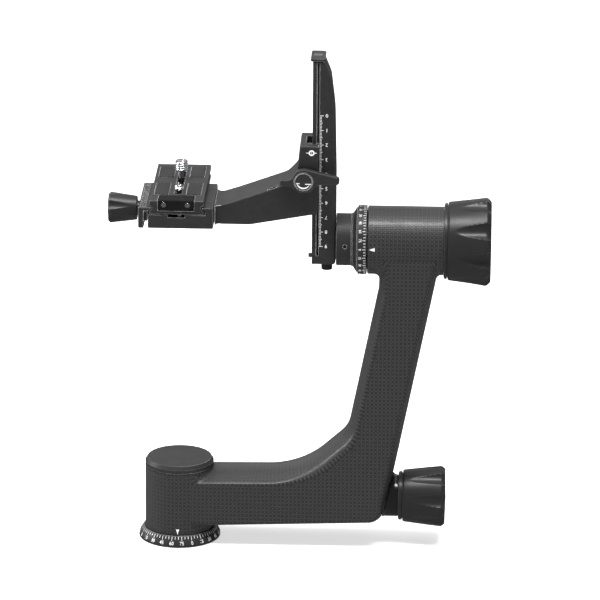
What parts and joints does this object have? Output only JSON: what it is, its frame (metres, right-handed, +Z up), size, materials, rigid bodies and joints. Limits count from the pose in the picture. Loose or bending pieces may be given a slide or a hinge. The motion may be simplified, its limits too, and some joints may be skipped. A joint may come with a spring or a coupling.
{
  "type": "alt-azimuth gimbal mount",
  "caption": "Side-mount gimbal head for a long lens: carbon arm that pans on a graduated base, tilt barrel, sliding cradle on a scaled rail and a dovetail quick-release clamp.",
  "frame": {"origin": "centre of the face that stands on the tripod, on the pan axis", "axes": "+Z up along the pan axis, +X from the pan axis towards the arm's upright and along the tilt axis, +Y away from the scale side of the rail"},
  "size_m": [0.2552, 0.0883, 0.3388],
  "materials": {
    "carbon": "satin clear-coated carbon-fibre weave",
    "black_anodised": "satin black anodised, light machined edges",
    "knob_black": "satin black",
    "gloss_black": "gloss black",
    "rubber_black": "matt black",
    "pad_grey": "fine-textured grey",
    "chrome": "bright",
    "steel": "machined",
    "brass": "machined",
    "brake_plastic": "plain"
  },
  "bodies": {
    "base": {"base_dial": "black_anodised", "tripod_bush": "steel", "pan_spindle": "steel", "pan_bearing_lower": "steel", "pan_bearing_upper": "steel", "pan_bearing_nut": "steel"},
    "arm": {"carbon_arm": "carbon", "pan_sleeve": "steel", "pan_cap": "black_anodised", "pan_lock_bush": "gloss_black", "tilt_sleeve": "steel", "tilt_bearing_left": "steel", "tilt_bearing_right": "steel"},
    "pan_lock": {"pan_knob": "knob_black", "pan_knob_flange": "knob_black"},
    "pan_brake": {"pan_lock_rod": "steel", "pan_brake_shoe": "brake_plastic"},
    "tilt_lock": {"tilt_knob": "knob_black", "tilt_knob_flange": "knob_black", "tilt_knob_insert": "brass"},
    "swing": {"tilt_hub": "black_anodised", "tilt_dial": "black_anodised", "tilt_shaft": "steel", "hub_set_screw": "steel", "rail": "black_anodised", "rail_bolt_lower": "steel", "rail_bolt_upper": "steel", "rail_end_plate": "black_anodised", "end_plate_screw": "gloss_black", "rail_foot_screw": "gloss_black", "stop_button_spring": "steel"},
    "button": {"stop_button": "steel"},
    "cradle": {"cradle_arm": "black_anodised", "clamp_base": "black_anodised", "clamp_bolt_front": "steel", "clamp_bolt_rear": "steel", "jaw_spring_front": "steel", "jaw_spring_rear": "steel"},
    "lever": {"lock_lever": "black_anodised", "lever_cap": "black_anodised", "lever_shaft": "steel"},
    "rail_brake": {"rail_brake_shoe": "brake_plastic"},
    "jaw": {"moving_jaw": "black_anodised", "jaw_pin_front": "steel", "jaw_pin_rear": "steel"},
    "jaw_knob": {"clamp_knob": "knob_black", "clamp_screw": "steel"},
    "plate": {"camera_plate": "black_anodised", "grip_pad_rear_left": "pad_grey", "grip_pad_rear_right": "pad_grey", "grip_pad_front_left": "pad_grey", "grip_pad_front_right": "pad_grey", "lens_stop_block": "rubber_black", "stop_block_screw_left": "chrome", "stop_block_screw_right": "chrome", "safety_screw": "chrome"},
    "rear_washer": {"screw_washer_rear": "steel"},
    "rear_screw": {"camera_screw_rear": "chrome"},
    "front_washer": {"screw_washer_front": "steel"},
    "front_screw": {"camera_screw_front": "chrome"}
  },
  "joints": [
    {"name": "pan_turn", "type": "hinge", "parent": "base", "child": "arm", "pos_m": [0, 0, 0.03], "axis": [0, 0, 1], "continuous": true},
    {"name": "tilt_turn", "type": "hinge", "parent": "arm", "child": "swing", "pos_m": [0.15, 0, 0.2121], "axis": [1, 0, 0], "continuous": true},
    {"name": "cradle_slide", "type": "slide", "parent": "swing", "child": "cradle", "axis": [0, 0, 1], "range_m": [-0.03, 0.055]},
    {"name": "plate_slide", "type": "slide", "parent": "cradle", "child": "plate", "axis": [0, 1, 0], "range_m": [-0.019, 0.025]},
    {"name": "lever_turn", "type": "hinge", "parent": "cradle", "child": "lever", "pos_m": [0.0834, -0.0195, 0.2578], "axis": [0, 1, 0], "range_deg": [0, 75]},
    {"name": "rail_brake_slide", "type": "slide", "parent": "cradle", "child": "rail_brake", "axis": [-1, 0, 0], "range_m": [0, 0.0002]},
    {"name": "jaw_slide", "type": "slide", "parent": "cradle", "child": "jaw", "axis": [-1, 0, 0], "range_m": [0, 0.0025]},
    {"name": "clamp_knob_turn", "type": "hinge", "parent": "jaw", "child": "jaw_knob", "pos_m": [-0.036, 0, 0.2315], "axis": [-1, 0, 0], "range_deg": [0, 900]},
    {"name": "pan_lock_turn", "type": "hinge", "parent": "arm", "child": "pan_lock", "pos_m": [0.165, 0, 0.03105], "axis": [1, 0, 0], "range_deg": [0, 270]},
    {"name": "pan_brake_slide", "type": "slide", "parent": "arm", "child": "pan_brake", "axis": [1, 0, 0], "range_m": [0, 0.0004]},
    {"name": "tilt_lock_turn", "type": "hinge", "parent": "arm", "child": "tilt_lock", "pos_m": [0.19, 0, 0.2121], "axis": [1, 0, 0], "range_deg": [0, 270]},
    {"name": "stop_button_press", "type": "slide", "parent": "swing", "child": "button", "axis": [1, 0, 0], "range_m": [0, 0.0015], "stiffness_N_per_m": 400, "springref_m": -0.002},
    {"name": "rear_screw_slide", "type": "slide", "parent": "plate", "child": "rear_washer", "axis": [0, 1, 0], "range_m": [-0.012, 0.013]},
    {"name": "rear_screw_turn", "type": "hinge", "parent": "rear_washer", "child": "rear_screw", "pos_m": [0, 0.0247, 0.24], "axis": [0, 0, 1], "continuous": true},
    {"name": "front_screw_slide", "type": "slide", "parent": "plate", "child": "front_washer", "axis": [0, 1, 0], "range_m": [-0.0055, 0.005]},
    {"name": "front_screw_turn", "type": "hinge", "parent": "front_washer", "child": "front_screw", "pos_m": [0, -0.0035, 0.24], "axis": [0, 0, 1], "continuous": true}
  ],
  "couplings": [
    {"joint": "jaw_slide", "follows": "clamp_knob_turn", "m_per_rad": 0.000159},
    {"joint": "pan_brake_slide", "follows": "pan_lock_turn", "m_per_rad": 0.000084},
    {"joint": "rail_brake_slide", "follows": "lever_turn", "m_per_rad": 0.00015}
  ]
}
